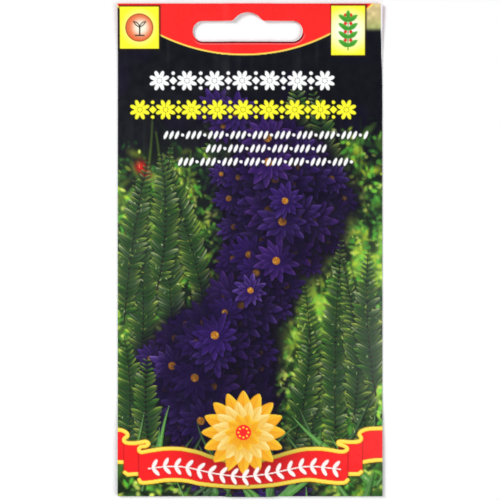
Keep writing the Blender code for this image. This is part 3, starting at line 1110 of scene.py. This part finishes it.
def printed_material():
    """Ink under a thin gloss film: the ink's own colours with a fine mottle and a slight ripple."""
    made, tree, shader = shader_of("printed_film")
    ink = tree.nodes.new("ShaderNodeAttribute")
    ink.attribute_name = "ink"
    mottle = ranged(tree, noise(tree, 2600.0, 3.0), 0.95, 1.04)
    tree.links.new(scaled_colour(tree, ink.outputs["Color"], mottle), shader.inputs["Base Color"])
    tree.links.new(ranged(tree, noise(tree, 320.0), 0.24, 0.34), shader.inputs["Roughness"])
    set_inputs(shader, {"Specular IOR Level": 0.26, "Coat Weight": 0.06, "Coat Roughness": 0.12})
    bumped(tree, shader, noise(tree, 900.0, 5.0), 0.00004, 0.35)
    return made


def plain_material(name, colour, mottle, span, roughness, grain, depth, strength):
    """One colour with a mottle and a bump; each noise is its patches a metre and its detail."""
    made, tree, shader = shader_of(name)
    base = tree.nodes.new("ShaderNodeRGB")
    base.outputs[0].default_value = (*colour, 1.0)
    share = ranged(tree, noise(tree, *mottle), *span)
    tree.links.new(scaled_colour(tree, base.outputs[0], share), shader.inputs["Base Color"])
    set_inputs(shader, {"Roughness": roughness})
    bumped(tree, shader, noise(tree, *grain), depth, strength)
    return made


def paper_material():
    """Bare white paper, with fibres, at the cut edges and inside."""
    fibres = (5200.0, 6.0)
    white = (0.86, 0.85, 0.82)
    return plain_material("bare_paper", white, fibres, (0.9, 1.05), 0.85, fibres, 0.00003, 0.5)


def seed_material():
    """A dull, wrinkled, nearly black seed coat."""
    brown = (0.05, 0.032, 0.022)
    mottle, wrinkles = (2400.0, 8.0), (3600.0, 6.0)
    return plain_material("seed_coat_skin", brown, mottle, (0.45, 1.5), 0.78, wrinkles, 0.00012, 0.8)


def print_skin(name, u_list, s_list, ink, place, paint):
    """A printed face of the paper, with its colours from the ink and a flat layout for its map."""
    made, u, s, normals = grid_mesh(name, u_list, s_list, PAPER / 2)
    mesh = made.data
    x, y = place(u, s)
    colours = np.ones((len(u), 4), dtype=np.float32)
    colours[:, :3] = ink.at(x, y)
    attribute = mesh.attributes.new("ink", "FLOAT_COLOR", "POINT")
    attribute.data.foreach_set("color", colours.ravel())
    size = max(x.max() - x.min(), y.max() - y.min()) * 1.01
    corner = np.empty(len(mesh.loops), dtype=np.int32)
    mesh.loops.foreach_get("vertex_index", corner)
    layout = mesh.uv_layers.new(name="OFBake")
    flat = np.stack([(x - x.min()) / size + 0.003, (y - y.min()) / size + 0.003], axis=-1)
    layout.uv.foreach_set("vector", flat[corner].astype(np.float32).ravel())
    mesh.normals_split_custom_set_from_vertices(normals.tolist())
    mesh.materials.append(paint)
    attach(made, "root")


def front_place(u, s):
    """Where a point of the blank falls on the front's ink, which runs on round the folds."""
    return FOLD_X - (u - RIGHT_END), BEND_Y + s - PRINT_LIFT


def front_columns(cell):
    """Grid lines across the front and round its two side folds."""
    return join_stations(
        stations(INNER_END, RIGHT_END, FOLD_CELL),
        stations(RIGHT_END, FRONT_END, cell),
        stations(FRONT_END, LEFT_END, FOLD_CELL),
    )


def foot_rows(flap_cell):
    """Grid lines over the flap, round the lower fold and up the pouch's steep foot."""
    steep_end = 2.4
    return join_stations(
        stations(FLAP_END, -BEND_LENGTH, flap_cell),
        stations(-BEND_LENGTH, 0.0, BEND_LENGTH / BEND_STEPS),
        stations(0.0, POUCH_START, 0.2),
        stations(POUCH_START, steep_end, 0.1),
        stations(steep_end, FOOT_END, PRINT_CELL),
    )


def build_front(ink, paint):
    """The printed front in three pieces, with the two side folds and the flap under its foot."""
    columns = front_columns(PRINT_CELL)
    low_cut, high_cut = FRONT_CUTS
    lower = join_stations(foot_rows(FLAP_CELL), stations(FOOT_END, low_cut, PRINT_CELL))
    middle = stations(low_cut, high_cut, PRINT_CELL)
    upper = stations(high_cut, TUBE_LENGTH, PRINT_CELL)
    for name, rows in (("front_lower", lower), ("front_middle", middle), ("front_upper", upper)):
        print_skin(name, columns, rows, ink, front_place, paint)


def build_back(ink, paint):
    """The printed back: the panel that is seen whole, and the one whose edge it laps over."""
    rows = stations(0.0, TUBE_LENGTH, BACK_CELL)
    outer = stations(LEFT_END, BLANK_WIDTH, BACK_CELL)
    inner = stations(SEAM_OVERLAP - SEAM_CLEAR, INNER_END, BACK_CELL)
    print_skin("back_outer", outer, rows, ink, lambda u, s: (u - LEFT_END - FOLD_X, BEND_Y + s), paint)
    print_skin("back_inner", inner, rows, ink, lambda u, s: (u - SEAM_OVERLAP / 2, BEND_Y + s), paint)


def build_core(paint):
    """The white paper itself, a closed sheet a little thinner than the print's two faces."""
    columns = join_stations(
        stations(0.0, INNER_END, CORE_CELL),
        front_columns(CORE_CELL),
        stations(LEFT_END, BLANK_WIDTH, CORE_CELL),
    )
    rows = join_stations(
        foot_rows(CORE_FLAP_CELL),
        stations(FOOT_END, SEAL - HEADER_EASE, CORE_POUCH_CELL),
        stations(SEAL - HEADER_EASE, TUBE_LENGTH, HEADER_CELL),
    )
    made, _, _, _ = grid_mesh("paper_sheet", columns, rows, 0.0)
    made.data.materials.append(paint)
    thick = made.modifiers.new("thickness", "SOLIDIFY")
    thick.thickness = (PAPER - 2 * PRINT_DEPTH) * MM
    thick.offset = 0.0
    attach(made, "root")
    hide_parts("envelope")


def build_studio():
    """A pale floor, soft lamps and the camera straight above; floor and lamps are in metres."""
    floor_mesh = bpy.data.meshes.new("floor")
    reach = 3.0
    corners = [(-reach, -reach, 0), (reach, -reach, 0), (reach, reach, 0), (-reach, reach, 0)]
    floor_mesh.from_pydata(corners, [], [(0, 1, 2, 3)])
    floor = placed("floor", floor_mesh)
    floor.location.z = -0.0001
    pale, _, shader = shader_of("pale_floor")
    grey = (0.93, 0.93, 0.93, 1.0)
    set_inputs(shader, {"Base Color": grey, "Roughness": 0.9, "Specular IOR Level": 0.1})
    floor_mesh.materials.append(pale)
    for name, place, size, power in (
        ("key", (-0.72, 0.46, 0.96), 0.6, 11.8),
        ("fill", (0.80, -0.30, 0.90), 0.8, 8.2),
        ("low", (-0.15, -1.0, 0.62), 0.8, 2.9),
    ):
        data = bpy.data.lights.new(name, "AREA")
        data.size = size
        data.energy = power
        lamp = placed(name, data)
        lamp.location = place
        lamp.rotation_euler = (-Vector(place)).to_track_quat("-Z", "Y").to_euler()
    world = bpy.data.worlds.new("studio")
    world.use_nodes = True
    sky = world.node_tree.nodes["Background"]
    set_inputs(sky, {"Color": (0.95, 0.97, 1.0, 1.0), "Strength": 0.16})
    bpy.context.scene.world = world
    lens = bpy.data.cameras.new("camera")
    lens.lens = LENS
    lens.sensor_width = SENSOR
    lens.clip_start = 0.01
    camera = placed("camera", lens)
    distance = FRAME_WIDTH * LENS / SENSOR
    camera.location = Vector((*LOOK_AT, FRONT_LEVEL + distance)) * MM
    bpy.context.scene.camera = camera
    bpy.context.scene.view_settings.view_transform = "Standard"


def main():
    """Builds the paper, its print and the studio round the solids."""
    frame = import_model()
    build_core(paper_material())
    film = printed_material()
    build_front(paint_front(), film)
    build_back(paint_back(), film)
    coat = seed_material()
    for name, node in frame["nodes"].items():
        if name.startswith("seed_"):
            node.data.materials.clear()
            node.data.materials.append(coat)
    build_studio()
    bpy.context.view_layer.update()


main()
